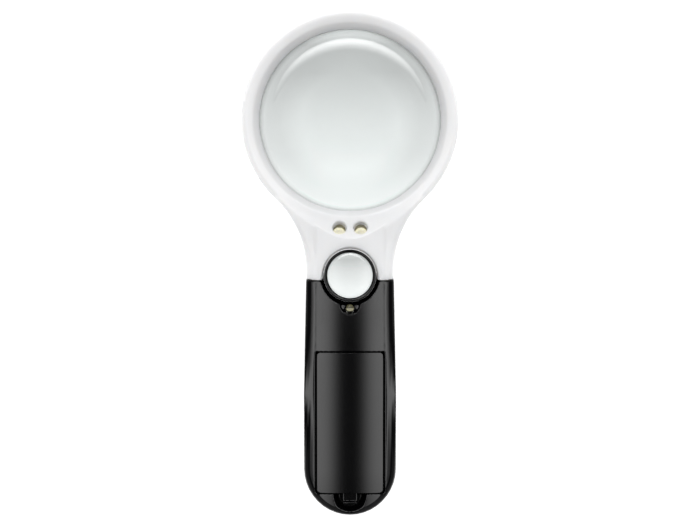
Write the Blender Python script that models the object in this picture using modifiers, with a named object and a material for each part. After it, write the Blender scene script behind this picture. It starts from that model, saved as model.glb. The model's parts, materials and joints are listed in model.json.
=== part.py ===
"""Illuminated two-lens magnifier: a white lens head on a black battery handle.

+Y runs from the handle's round end to the main lens, +Z is the side with the lamps and the
battery door, and Z = 0 is the flat front that the magnifier lies on. Units are metres.
"""

import math

import bmesh
import bpy
from mathutils import Vector

# Overall
GAP = 0.0003
SPLIT_Z = 0.008
REAR_Z = SPLIT_Z + GAP / 2
FRONT_Z = SPLIT_Z - GAP / 2
OVER = 0.002
WALL = 0.0018
FLOOR_SINK = 0.001
POST_HOLE_FLOOR = 0.0028

# Lens head
RING_Y = 0.0558
RING_R = 0.0425
RING_THICK = 0.015
GROOVE_R = 0.0379
APERTURE_R = 0.0354
RING_STEPS = 56
LENS_R = 0.0376
LENS_EDGE = 0.002
LENS_CURVE_R = 0.150
DISH_R = 0.0390
DISH_Z = 0.01415
DISH_ANGLE = math.radians(27)
NECK_HALF = 0.0171
NECK_ARC_R = 0.0383
NECK_ARC_X = NECK_HALF + NECK_ARC_R
NECK_ARC_Y = -0.003
HEAD_CAVITY_R = 0.0403
HEAD_CAVITY_TOP = 0.0125

# Seam between the white head and the black handle: a plane that leans towards the lens at the front
SEAM_Y = -0.0075
SEAM_LEAN = 0.18
SEAM_TOP = 0.021

# Handle
HANDLE_HALF = 0.01775
HANDLE_FULL_Y = -0.051
END_Y = -0.0975
END_CENTRE_Y = END_Y + HANDLE_HALF
HANDLE_TOP = 0.025
NECK_TOP = 0.0184
RISE_START_Y = 0.012
RISE_END_Y = -0.038
END_DROP = 0.0015
CROWN_R = 0.045
CROWN_MOST = 0.005
NECK_CROWN = 0.0022
CROWN_START_Y = 0.014
CROWN_FULL_Y = -0.0075
STRIPS_Y = (0.016, 0.008, 0.002, -0.014, -0.020, -0.026, -0.032, -0.038, -0.086, -0.092)
STRIPS_X = (-0.013, -0.0085, -0.004, 0.004, 0.0085, 0.013)
REAR_EDGE_R = 0.004
FRONT_EDGE_R = 0.0032
BLOCK_Y = -0.022
END_BLOCK_Y = -0.0892

# Small lens
SMALL_Y = -0.005
BARREL_R = 0.0101
BARREL_BORE_R = BARREL_R + GAP
BARREL_TOP = 0.0193
BARREL_BOTTOM = 0.0006
BARREL_INNER_R = 0.0092
SMALL_LENS_R = 0.0089
SMALL_LENS_Z = 0.0168
SMALL_CURVE_R = 0.027
COLLAR_TOP = 0.0215
COLLAR_TOP_R = 0.0150
RECESS_R = 0.0116
RECESS_FLOOR = 0.0155
LOBE_Y = -0.0159
LOBE_R = 0.00405
LOBE_FLOOR = 0.017

# Lamps
LED_X = 0.00405
LED_Y = 0.0137
LED_R = 0.0025
LED_HOLE_R = 0.0028
LED_LENGTH = 0.0086
LED_SINK = 0.0004
LED_FLANGE_R = 0.0029
LED_LEG = 0.0025
LED_LEG_X = 0.00127
FLANGE_THICK = 0.001
LEG_R = 0.0003
SMALL_LED_TIP = Vector((0, -0.0171, 0.0196))
SMALL_LED_TILT = math.radians(20)
SMALL_LED_R = 0.0015
SMALL_LED_LENGTH = 0.0053
SMALL_LED_FLANGE_R = 0.0019
SMALL_LED_LEG = 0.005
SMALL_LED_LEG_X = 0.0007
SMALL_LED_HOLE_R = 0.0018
SMALL_LED_WELL_R = 0.0022

# Battery compartment
DOOR_HALF = 0.0127
DOOR_TOP_Y = -0.03465
DOOR_END_Y = -0.08855
OPENING_HALF = 0.0133
OPENING_TOP_Y = -0.0343
OPENING_END_Y = -0.0889
OPENING_FLOOR = 0.02065
DOOR_THICK = 0.0016
DOOR_CORNER_R = 0.0012
HOOK_X = (0.006, 0.010)
HOOK_Z = (0.0209, 0.0216)
BULKHEAD_TOP = 0.0206
BULKHEAD_HALF = 0.0105
WING_HALF = 0.0164
LOWER_WING_HALF = 0.0150  # the end is already narrowing there, so these stop inside the wall
WING_Z = (0.0129, 0.018)
UPPER_BULKHEAD = (-0.0370, -0.0354)
LOWER_BULKHEAD = (-0.0882, -0.0866)
CELL_R = 0.00515
CELL_LENGTH = 0.0445
CELL_NUB_R = 0.0019
CELL_NUB = 0.0010
CELL_PITCH = 0.0108
MIDDLE_CELL_Z = 0.00765
PAIR_CELL_Z = MIDDLE_CELL_Z + CELL_PITCH * math.sin(math.radians(60))
PLATE_THICK = 0.0004
SPRING_WIRE_R = 0.0003
SPRING_TURNS = 3
SPRING_BASE_R = 0.0034
SPRING_TAPER = 0.0012

# Finger notch and latch at the round end
NOTCH_HALF = 0.0063
NOTCH_END_Y = -0.0961
NOTCH_FLOOR = 0.0182
NOTCH_FLOOR_HALF = 0.0050
NOTCH_TOP = 0.0262
NOTCH_OVERLAP = 0.0007
LATCH_HALF = 0.0028
LATCH_END_Y = -0.0928

# Screws
CROSS_HALF = 0.0002
BOARD_SCREW = (0.0017, 0.0008, 0.0062)
SHELL_SCREW = (0.0020, 0.0010, 0.0070)

# Thumb switch
SWITCH_Y = -0.0265
SWITCH_TRAVEL = 0.004
SCOOP_DEPTH = 0.0025
SCOOP_HALF_X = 0.0073
SCOOP_HALF_Y = 0.0090
SCOOP_CORNER_R = 0.003
SCOOP_PAD_HALF = 0.0095
SLOT_HALF = 0.0021
SLOT_REACH = 0.0022
KNOB_HALF = 0.0042
KNOB_RIBS = 5
RIB_PITCH = 0.0012
STEM_HALF = 0.0018
SOCKET_HALF = 0.0012
SLIDER_HALF = 0.0009
HOUSING_HALF = 0.0023
KNOB_REST_Y = SWITCH_Y - SWITCH_TRAVEL / 2
BOARD_Z = (0.0087, 0.0099)
BOARD_Y = (-0.0346, -0.0226)
BOARD_HALF = 0.010
BOARD_HOLE_R = 0.0011
RESISTOR_R = 0.0010
RESISTOR_LEAD_R = 0.0003
RESISTOR_HALF = 0.0028
RESISTOR_LEAD_HALF = 0.0038
BOARD_SCREW_X = 0.0080
BOARD_SCREW_Y = -0.0286
SHELL_SCREW_X = 0.0106
SHELL_SCREW_Y = -0.062
LEDGE_INNER_X = 0.0082
LEDGE_HALF_Y = 0.004
LEDGE_TOP = 0.010
LEDGE_HOLE_R = 0.0014

# Channels beside the small lens, for the head's tongues and the lamp wires
CHANNEL_X = (0.0120, 0.0156)
CHANNEL_TOP = 0.0125
CHANNEL_FLOOR = 0.0021
CUT_TOP = 0.03
WIRE_R = 0.0005


def fresh_collection(name):
    collection = bpy.data.collections.new(name)
    bpy.context.scene.collection.children.link(collection)
    return collection


for old in list(bpy.data.objects):
    bpy.data.objects.remove(old, do_unlink=True)
PARTS = fresh_collection("magnifying_glass")
CUTTERS = fresh_collection("cutters")


def material(name, colour, roughness, metallic=0.0, transmission=0.0):
    """A Principled BSDF material, made once for each name."""
    found = bpy.data.materials.get(name)
    if found:
        return found
    made = bpy.data.materials.new(name)
    made.use_nodes = True
    shader = made.node_tree.nodes["Principled BSDF"]
    shader.inputs["Base Color"].default_value = (*colour, 1)
    shader.inputs["Roughness"].default_value = roughness
    shader.inputs["Metallic"].default_value = metallic
    shader.inputs["Transmission Weight"].default_value = transmission
    made.diffuse_color = (*colour, 1)
    return made


WHITE_PLASTIC = material("white_plastic", (0.86, 0.86, 0.88), 0.18)
BLACK_PLASTIC = material("black_plastic", (0.012, 0.012, 0.013), 0.38)
BLACK_GLOSS = material("black_gloss", (0.01, 0.01, 0.011), 0.15)
LENS_GLASS = material("lens_glass", (0.90, 0.96, 0.94), 0.02, transmission=1.0)
LAMP_RESIN = material("lamp_resin", (0.93, 0.92, 0.84), 0.1, transmission=0.8)
CELL_SLEEVE = material("cell_sleeve", (0.05, 0.10, 0.22), 0.3)
NICKEL = material("nickel", (0.72, 0.70, 0.66), 0.25, metallic=1.0)
STEEL = material("steel", (0.55, 0.56, 0.58), 0.3, metallic=1.0)
BOARD_GREEN = material("board_green", (0.05, 0.22, 0.10), 0.45)
RESISTOR_TAN = material("resistor_tan", (0.62, 0.50, 0.33), 0.5)
RED_WIRE = material("red_wire", (0.55, 0.03, 0.03), 0.4)
BLACK_WIRE = material("black_wire", (0.02, 0.02, 0.02), 0.4)


def place(name, mesh, skin):
    """Links a mesh as a part, or as a cutter when it has no skin."""
    made = bpy.data.objects.new(name, mesh)
    if skin is None:
        CUTTERS.objects.link(made)
        made.hide_render = True
        made.display_type = "WIRE"
    else:
        PARTS.objects.link(made)
        mesh.materials.append(skin)
    return made


def finish_bmesh(name, bm, skin, smooth=False):
    bmesh.ops.recalc_face_normals(bm, faces=bm.faces[:])
    mesh = bpy.data.meshes.new(name)
    bm.to_mesh(mesh)
    bm.free()
    if smooth:
        mesh.shade_smooth()
        mesh.set_sharp_from_angle(angle=math.radians(35))
    return place(name, mesh, skin)


def boolean(target, operation, *tools, solver="EXACT"):
    for tool in tools:
        step = target.modifiers.new(tool.name, "BOOLEAN")
        step.object = tool
        step.operation = operation
        step.solver = solver


def box(name, low, high, skin=None):
    bm = bmesh.new()
    bmesh.ops.create_cube(bm, size=1)
    size = Vector(high) - Vector(low)
    bmesh.ops.scale(bm, vec=size, verts=bm.verts[:])
    bmesh.ops.translate(bm, vec=Vector(low) + size / 2, verts=bm.verts[:])
    return finish_bmesh(name, bm, skin)


def rod(name, start, end, radius, radius_end=None, segments=24, skin=None):
    """A cylinder or cone between two points."""
    start = Vector(start)
    way = Vector(end) - start
    bm = bmesh.new()
    bmesh.ops.create_cone(
        bm,
        cap_ends=True,
        segments=segments,
        radius1=radius,
        radius2=radius if radius_end is None else radius_end,
        depth=way.length,
    )
    turn = Vector((0, 0, 1)).rotation_difference(way).to_matrix()
    bmesh.ops.rotate(bm, cent=(0, 0, 0), matrix=turn, verts=bm.verts[:])
    bmesh.ops.translate(bm, vec=start + way / 2, verts=bm.verts[:])
    return finish_bmesh(name, bm, skin, smooth=True)


def turned(name, profile, at=(0, 0, 0), steps=24, skin=None, closed=False, way=(0, 0, 1)):
    """A profile of (radius, height) points, outer side downwards, turned about its axis."""
    count = len(profile)
    edges = [(i, i + 1) for i in range(count - 1)]
    if closed:
        edges.append((count - 1, 0))
    mesh = bpy.data.meshes.new(name)
    mesh.from_pydata([(radius, 0, height) for radius, height in profile], edges, [])
    made = place(name, mesh, skin)
    made.location = at
    made.rotation_mode = "QUATERNION"
    made.rotation_quaternion = Vector((0, 0, 1)).rotation_difference(Vector(way))
    screw = made.modifiers.new("turn", "SCREW")
    screw.steps = steps
    screw.render_steps = steps
    screw.use_merge_vertices = True
    screw.merge_threshold = 0.00001
    screw.use_smooth_shade = True
    return made


def prism(name, outline, low, high, skin=None, spread=0.0):
    """An (x, y) outline raised from low to high. Spread widens the upper outline from its middle."""
    bm = bmesh.new()
    face = bm.faces.new([bm.verts.new((x, y, low)) for x, y in outline])
    middle = face.calc_center_bounds()
    raised = bmesh.ops.extrude_face_region(bm, geom=[face])
    for item in raised["geom"]:
        if isinstance(item, bmesh.types.BMVert):
            item.co.z = high
            item.co.xy += (item.co - middle).xy.normalized() * spread
    return finish_bmesh(name, bm, skin)


def side_prism(name, outline, half, skin=None):
    """A (y, z) outline widened along X to both sides of the middle plane."""
    bm = bmesh.new()
    face = bm.faces.new([bm.verts.new((-half, y, z)) for y, z in outline])
    raised = bmesh.ops.extrude_face_region(bm, geom=[face])
    for item in raised["geom"]:
        if isinstance(item, bmesh.types.BMVert):
            item.co.x = half
    return finish_bmesh(name, bm, skin)


def wire(name, route, radius, skin, resolution=2):
    """A round wire with closed ends along a list of points."""
    curve = bpy.data.curves.new(name, "CURVE")
    curve.dimensions = "3D"
    curve.bevel_depth = radius
    curve.bevel_resolution = resolution
    curve.use_fill_caps = True
    spline = curve.splines.new("POLY")
    spline.points.add(len(route) - 1)
    for point, spot in zip(spline.points, route):
        point.co = (*spot, 1)
    made = bpy.data.objects.new(name, curve)
    PARTS.objects.link(made)
    curve.materials.append(skin)
    return made


def smooth_route(knots, per_span=3):
    """Points along a Catmull-Rom curve through the knots."""
    knots = [Vector(knot) for knot in knots]
    padded = [knots[0] * 2 - knots[1], *knots, knots[-1] * 2 - knots[-2]]
    route = []
    for a, b, c, d in zip(padded, padded[1:], padded[2:], padded[3:]):
        for step in range(per_span):
            t = step / per_span
            bend = (2 * a - 5 * b + 4 * c - d) * t**2
            twist = (3 * b - a - 3 * c + d) * t**3
            route.append(0.5 * (2 * b + (c - a) * t + bend + twist))
    return [*route, knots[-1]]


def arc(centre, radius, start, end, steps):
    """Points on a circle arc, angles in degrees, both ends included."""
    points = []
    for step in range(steps + 1):
        angle = math.radians(start + (end - start) * step / steps)
        points.append((centre[0] + radius * math.cos(angle), centre[1] + radius * math.sin(angle)))
    return points


def mirrored(right_side):
    """Closes an outline: its right side, then the same points on the left in reverse."""
    left_side = [(-x, y) for x, y in reversed(right_side) if abs(x) > 1e-7]
    return right_side + left_side


def lens_profile(radius, curve_r, edge, middle_z, steps=5):
    """Half of a biconvex lens section, from the upper pole to the lower one."""
    upper = []
    for step in range(steps + 1):
        r = radius * step / steps
        sag = math.sqrt(curve_r**2 - r**2) - math.sqrt(curve_r**2 - radius**2)
        upper.append((r, edge / 2 + sag))
    lower = [(r, -z) for r, z in reversed(upper)]
    return [(r, middle_z + z) for r, z in upper + lower]


def crest(y):
    """Height of the handle's rear ridge: low at the neck, full over the cells, dropping at the end."""
    t = min(max((RISE_START_Y - y) / (RISE_START_Y - RISE_END_Y), 0), 1)
    height = NECK_TOP + (HANDLE_TOP - NECK_TOP) * t * t * (3 - 2 * t)
    if y < END_CENTRE_Y:
        height -= END_DROP * ((END_CENTRE_Y - y) / HANDLE_HALF) ** 2
    return height


def rear_height(x, y):
    """Height of the rear surface, which is crowned across the handle and flatter across the neck."""
    t = min(max((CROWN_START_Y - y) / (CROWN_START_Y - CROWN_FULL_Y), 0), 1)
    most = NECK_CROWN + (CROWN_MOST - NECK_CROWN) * t * t * (3 - 2 * t)
    return crest(y) - most * math.tanh(x * x / (2 * CROWN_R * most))


def handle_outline(inset, top_y, end_y):
    """The handle in plan, from top_y down to the round end or to a straight cut at end_y."""
    radius = HANDLE_HALF - inset
    reach = min(1, (END_CENTRE_Y - end_y) / radius)
    turn = -math.degrees(math.asin(reach))
    right = [(NECK_HALF - inset, top_y), (radius, HANDLE_FULL_Y)]
    right += arc((0, END_CENTRE_Y), radius, 0, turn, max(3, round(-turn / 9)))
    if reach == 1:
        right[-1] = (0, END_CENTRE_Y - radius)
    return mirrored(right)


def neck_outline(inset):
    """The neck in plan: straight at the seam, then flaring on an arc that meets the ring."""
    tangent = 180 - math.degrees(math.atan2(RING_Y - NECK_ARC_Y, NECK_ARC_X))
    right = [(NECK_HALF - inset, SEAM_Y + GAP / 2)]
    right += arc((NECK_ARC_X, NECK_ARC_Y), NECK_ARC_R + inset, 180, tangent, 9)
    meeting = Vector(right[-1]) - Vector((0, RING_Y))
    right.append(Vector((0, RING_Y)) + meeting * (APERTURE_R / RING_R))
    return mirrored(right)


def slab(name, outline, z_flat, z_edge, edge_r, seam, skin=None, drop=0.0):
    """An outline raised from z_flat to z_edge, with a rounded far rim and, at the rear, the crown."""
    bm = bmesh.new()
    face = bm.faces.new([bm.verts.new((x, y, z_flat)) for x, y in outline])
    raised = bmesh.ops.extrude_face_region(bm, geom=[face])
    for item in raised["geom"]:
        if isinstance(item, bmesh.types.BMVert):
            item.co.z = z_edge
    ends = (max(y for x, y in outline), seam)
    rim = [edge for edge in bm.edges if all(abs(v.co.z - z_edge) < 1e-6 for v in edge.verts)]
    rim = [e for e in rim if not any(all(abs(v.co.y - end) < 1e-6 for v in e.verts) for end in ends)]
    bmesh.ops.bevel(
        bm, geom=rim, offset=edge_r, offset_type="OFFSET", segments=3, profile=0.5, affect="EDGES"
    )
    if z_edge > z_flat:
        shape_rear(bm, z_edge, drop)
    for vert in bm.verts:
        if abs(vert.co.y - seam) < 1e-6:
            vert.co.y += SEAM_LEAN * (SEAM_TOP - vert.co.z)
    return finish_bmesh(name, bm, skin, smooth=True)


def shape_rear(bm, z_edge, drop):
    """Cuts the slab into strips and lifts or lowers them to the rear surface, less a wall's drop."""
    for axis, places in ((Vector((0, 1, 0)), STRIPS_Y), (Vector((1, 0, 0)), STRIPS_X)):
        for spot in places:
            every = bm.verts[:] + bm.edges[:] + bm.faces[:]
            bmesh.ops.bisect_plane(bm, geom=every, plane_co=axis * spot, plane_no=axis, dist=0.000001)
    for vert in bm.verts:
        if vert.co.z > SPLIT_Z + GAP:
            share = (vert.co.z - SPLIT_Z) / (z_edge - SPLIT_Z)
            vert.co.z = SPLIT_Z + share * (rear_height(vert.co.x, vert.co.y) - drop - SPLIT_Z)


def barrel_bore():
    return rod("barrel_bore", (0, SMALL_Y, -OVER), (0, SMALL_Y, 0.03), BARREL_BORE_R, segments=40)


def led_axis(x):
    """Where a main lamp leaves the dish, and the way it points."""
    radial = Vector((x, LED_Y - RING_Y, 0))
    spot = Vector((x, LED_Y, DISH_Z + (radial.length - DISH_R) * math.tan(DISH_ANGLE)))
    way = -radial.normalized() * math.sin(DISH_ANGLE) + Vector((0, 0, math.cos(DISH_ANGLE)))
    return spot, way


def small_led_axis():
    return Vector((0, math.sin(SMALL_LED_TILT), math.cos(SMALL_LED_TILT)))


def ring_profile_rear():
    rim_z = RING_THICK
    return [
        (RING_R - 0.0016, rim_z),
        (RING_R - 0.0007, rim_z - 0.00025),
        (RING_R - 0.00015, rim_z - 0.00085),
        (RING_R, rim_z - 0.0019),
        (RING_R, REAR_Z),
        (GROOVE_R, REAR_Z),
        (GROOVE_R, 0.0089),
        (APERTURE_R, 0.00935),
        (APERTURE_R, 0.0099),
        (GROOVE_R, 0.0138),
        (RING_R - 0.0022, rim_z - 0.00015),
    ]


def ring_profile_front():
    return [
        (RING_R, FRONT_Z),
        (RING_R, 0.0019),
        (RING_R - 0.0004, 0.00075),
        (RING_R - 0.0012, 0.00012),
        (RING_R - 0.0018, 0.0),
        (RING_R - 0.0029, 0.0),
        (GROOVE_R, 0.0009),
        (APERTURE_R, 0.0051),
        (APERTURE_R, 0.00565),
        (GROOVE_R, 0.0061),
        (GROOVE_R, FRONT_Z),
    ]


def dish_cutter():
    top = 0.030
    reach = DISH_R + (top - DISH_Z) / math.tan(DISH_ANGLE)
    profile = [(0, top), (reach, top), (DISH_R, DISH_Z), (DISH_R, -OVER), (0, -OVER)]
    return turned("dish_cutter", profile, (0, RING_Y, 0), RING_STEPS)


def head_cavity():
    """The hollow inside the neck, kept clear of the main lens."""
    cavity = prism("head_cavity", neck_outline(WALL), WALL, HEAD_CAVITY_TOP)
    for vert in cavity.data.vertices:
        if vert.co.y < SEAM_Y + OVER:
            vert.co.y -= OVER
    keep_out = rod("lens_keep_out", (0, RING_Y, -OVER), (0, RING_Y, 0.03), HEAD_CAVITY_R, segments=RING_STEPS)
    boolean(cavity, "DIFFERENCE", keep_out)
    return cavity


def make_head():
    """The two white covers that clamp the main lens and flare into the neck."""
    dish = dish_cutter()
    cavity = head_cavity()
    bore = barrel_bore()
    seam = SEAM_Y + GAP / 2
    ring_rear = turned("ring_rear", ring_profile_rear(), (0, RING_Y, 0), RING_STEPS, closed=True)
    ring_front = turned("ring_front", ring_profile_front(), (0, RING_Y, 0), RING_STEPS, closed=True)
    collar_z = BARREL_TOP - 0.0018
    collar = rod(
        "collar_slope",
        (0, SMALL_Y, collar_z),
        (0, SMALL_Y, COLLAR_TOP),
        BARREL_BORE_R - 0.0002,
        COLLAR_TOP_R,
        segments=40,
    )

    rear = slab("head_rear_cover", neck_outline(0), REAR_Z, HANDLE_TOP, REAR_EDGE_R, seam, WHITE_PLASTIC)
    boolean(rear, "DIFFERENCE", dish, solver="MANIFOLD")
    boolean(rear, "UNION", ring_rear, solver="MANIFOLD")
    boolean(rear, "DIFFERENCE", cavity, bore, collar, solver="MANIFOLD")
    for side in (-1, 1):
        spot, way = led_axis(side * LED_X)
        name = "led_hole_left" if side < 0 else "led_hole_right"
        hole = rod(name, spot - way * 0.006, spot + way * 0.004, LED_HOLE_R)
        boolean(rear, "DIFFERENCE", hole, solver="MANIFOLD")

    front = slab("head_front_cover", neck_outline(0), FRONT_Z, GAP, FRONT_EDGE_R, seam, WHITE_PLASTIC)
    boolean(front, "DIFFERENCE", dish, solver="MANIFOLD")
    boolean(front, "UNION", ring_front, solver="MANIFOLD")
    boolean(front, "DIFFERENCE", cavity, bore, solver="MANIFOLD")
    for side in (-1, 1):
        inner, outer = sorted((side * 0.0124, side * 0.0136)), sorted((side * 0.0124, side * 0.0160))
        root = box(f"tongue_root_{side}", (outer[0], -0.003, 0.001), (outer[1], 0.0, 0.0075))
        tongue = box(f"tongue_{side}", (inner[0], -0.014, 0.0024), (inner[1], -0.002, 0.0075))
        boolean(front, "UNION", root, tongue, solver="MANIFOLD")


def make_lenses():
    turned(
        "main_lens",
        lens_profile(LENS_R, LENS_CURVE_R, LENS_EDGE, RING_THICK / 2),
        (0, RING_Y, 0),
        48,
        LENS_GLASS,
    )
    turned(
        "small_lens",
        lens_profile(SMALL_LENS_R, SMALL_CURVE_R, 0.0016, SMALL_LENS_Z, 4),
        (0, SMALL_Y, 0),
        32,
        LENS_GLASS,
    )
    ledge = SMALL_LENS_Z - 0.0008 - GAP
    barrel = [
        (BARREL_INNER_R + 0.0003, BARREL_TOP),
        (BARREL_R - 0.0004, BARREL_TOP),
        (BARREL_R, BARREL_TOP - 0.0004),
        (BARREL_R, BARREL_BOTTOM),
        (BARREL_INNER_R - 0.0003, BARREL_BOTTOM),
        (BARREL_INNER_R - 0.0003, ledge - 0.0015),
        (BARREL_INNER_R - 0.0010, ledge - 0.0008),
        (BARREL_INNER_R - 0.0010, ledge),
        (BARREL_INNER_R, ledge),
        (BARREL_INNER_R, BARREL_TOP - 0.0003),
    ]
    turned("small_lens_barrel", barrel, (0, SMALL_Y, 0), 40, BLACK_GLOSS, closed=True)


def make_led(name, tip, way, radius, length, flange_r, leg_length, leg_x):
    """A lamp with a domed tip, a base flange and two legs, all one solid."""
    base = Vector(tip) - way * length
    dome = [(radius * math.sin(a), length - radius + radius * math.cos(a)) for a in (0, 0.4, 0.8, 1.2)]
    profile = dome + [(radius, length - radius), (radius, FLANGE_THICK)]
    profile += [(flange_r, FLANGE_THICK), (flange_r, 0), (0, 0)]
    lamp = turned(name, profile, base, 20, LAMP_RESIN, way=way)
    for side in (-1, 1):
        foot = base - way * leg_length + Vector((side * leg_x, 0, 0))
        top = base + way * LEG_R + Vector((side * leg_x, 0, 0))
        leg = rod(f"{name}_leg_{side}", foot, top, LEG_R, segments=4)
        boolean(lamp, "UNION", leg, solver="MANIFOLD")


def make_lamps():
    for side in (-1, 1):
        spot, way = led_axis(side * LED_X)
        name = "led_left" if side < 0 else "led_right"
        make_led(name, spot - way * LED_SINK, way, LED_R, LED_LENGTH, LED_FLANGE_R, LED_LEG, LED_LEG_X)
    make_led(
        "led_small",
        SMALL_LED_TIP,
        small_led_axis(),
        SMALL_LED_R,
        SMALL_LED_LENGTH,
        SMALL_LED_FLANGE_R,
        SMALL_LED_LEG,
        SMALL_LED_LEG_X,
    )


def notch_outline(half, end_y):
    """The U-shaped finger notch, open towards the door."""
    right = arc((0, end_y + half), half, 0, -90, 6)[:-1]
    return mirrored([(half, DOOR_END_Y + NOTCH_OVERLAP), *right, (0, end_y)])


def finger_notch():
    """A U-shaped hollow whose walls slope out towards the rear surface."""
    surface = HANDLE_TOP - 0.001
    slope = (NOTCH_HALF - NOTCH_FLOOR_HALF) / (surface - NOTCH_FLOOR)
    spread = slope * (NOTCH_TOP - NOTCH_FLOOR)
    floor_end = NOTCH_END_Y + NOTCH_HALF - NOTCH_FLOOR_HALF
    inner = notch_outline(NOTCH_FLOOR_HALF, floor_end)
    outer = notch_outline(NOTCH_FLOOR_HALF + spread, floor_end - spread)
    cutter = prism("finger_notch", inner, NOTCH_FLOOR, NOTCH_TOP)
    upper = [vert for vert in cutter.data.vertices if vert.co.z > NOTCH_FLOOR + OVER]
    for vert in upper:
        nearest = min(range(len(inner)), key=lambda i: (Vector(inner[i]) - vert.co.xy).length)
        vert.co.xy = outer[nearest]
    return cutter


def make_rear_shell():
    """The black half with the battery opening, the small lamp's pocket and the finger notch."""
    seam = SEAM_Y - GAP / 2
    outline = handle_outline(0, seam, END_Y)
    shell = slab("handle_rear_shell", outline, REAR_Z, HANDLE_TOP, REAR_EDGE_R, seam, BLACK_PLASTIC)
    hollow = slab(
        "rear_hollow",
        handle_outline(WALL, BLOCK_Y, END_BLOCK_Y),
        SPLIT_Z - OVER,
        HANDLE_TOP - WALL,
        REAR_EDGE_R - WALL,
        END_BLOCK_Y - 1,
        drop=WALL,
    )
    boolean(shell, "DIFFERENCE", hollow)
    for name, (low, high), wing in (
        ("upper", UPPER_BULKHEAD, WING_HALF),
        ("lower", LOWER_BULKHEAD, LOWER_WING_HALF),
    ):
        centre = box(f"{name}_bulkhead", (-BULKHEAD_HALF, low, REAR_Z), (BULKHEAD_HALF, high, BULKHEAD_TOP))
        wings = box(f"{name}_bulkhead_wings", (-wing, low, WING_Z[0]), (wing, high, WING_Z[1]))
        boolean(shell, "UNION", centre, wings)
    for side in (-1, 1):
        near, far = sorted((side * LEDGE_INNER_X, side * WING_HALF))
        low = (near, SHELL_SCREW_Y - LEDGE_HALF_Y, REAR_Z)
        high = (far, SHELL_SCREW_Y + LEDGE_HALF_Y, LEDGE_TOP)
        ledge = box(f"screw_ledge_{side}", low, high)
        screw_at = (side * SHELL_SCREW_X, SHELL_SCREW_Y)
        hole = rod(
            f"ledge_hole_{side}",
            (*screw_at, REAR_Z - OVER),
            (*screw_at, LEDGE_TOP + OVER),
            LEDGE_HOLE_R,
            segments=12,
        )
        boolean(shell, "UNION", ledge)
        boolean(shell, "DIFFERENCE", hole)
        inner, outer = sorted((side * CHANNEL_X[0], side * CHANNEL_X[1]))
        low = (inner, BLOCK_Y - OVER, SPLIT_Z - OVER)
        channel = box(f"rear_channel_{side}", low, (outer, 0, CHANNEL_TOP))
        boolean(shell, "DIFFERENCE", channel)
    low = (-OPENING_HALF, OPENING_END_Y, OPENING_FLOOR)
    opening = box("door_opening", low, (OPENING_HALF, OPENING_TOP_Y, CUT_TOP))
    recess = rod("barrel_recess", (0, SMALL_Y, RECESS_FLOOR), (0, SMALL_Y, CUT_TOP), RECESS_R, segments=40)
    lobe = rod("lamp_lobe", (0, LOBE_Y, LOBE_FLOOR), (0, LOBE_Y, CUT_TOP), LOBE_R, segments=20)
    way = small_led_axis()
    hole_end = SMALL_LED_TIP - way * 0.0045
    lamp_hole = rod("small_lamp_hole", hole_end, SMALL_LED_TIP, SMALL_LED_HOLE_R, segments=20)
    well_top = SMALL_LED_TIP - way * 0.0040
    well_end = SMALL_LED_TIP - way * 0.0140
    lamp_well = rod("small_lamp_well", well_end, well_top, SMALL_LED_WELL_R, segments=20)
    bore = bpy.data.objects["barrel_bore"]
    boolean(shell, "DIFFERENCE", opening, finger_notch(), bore, solver="MANIFOLD")
    boolean(shell, "DIFFERENCE", recess, lobe, lamp_hole, lamp_well, solver="MANIFOLD")


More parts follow.
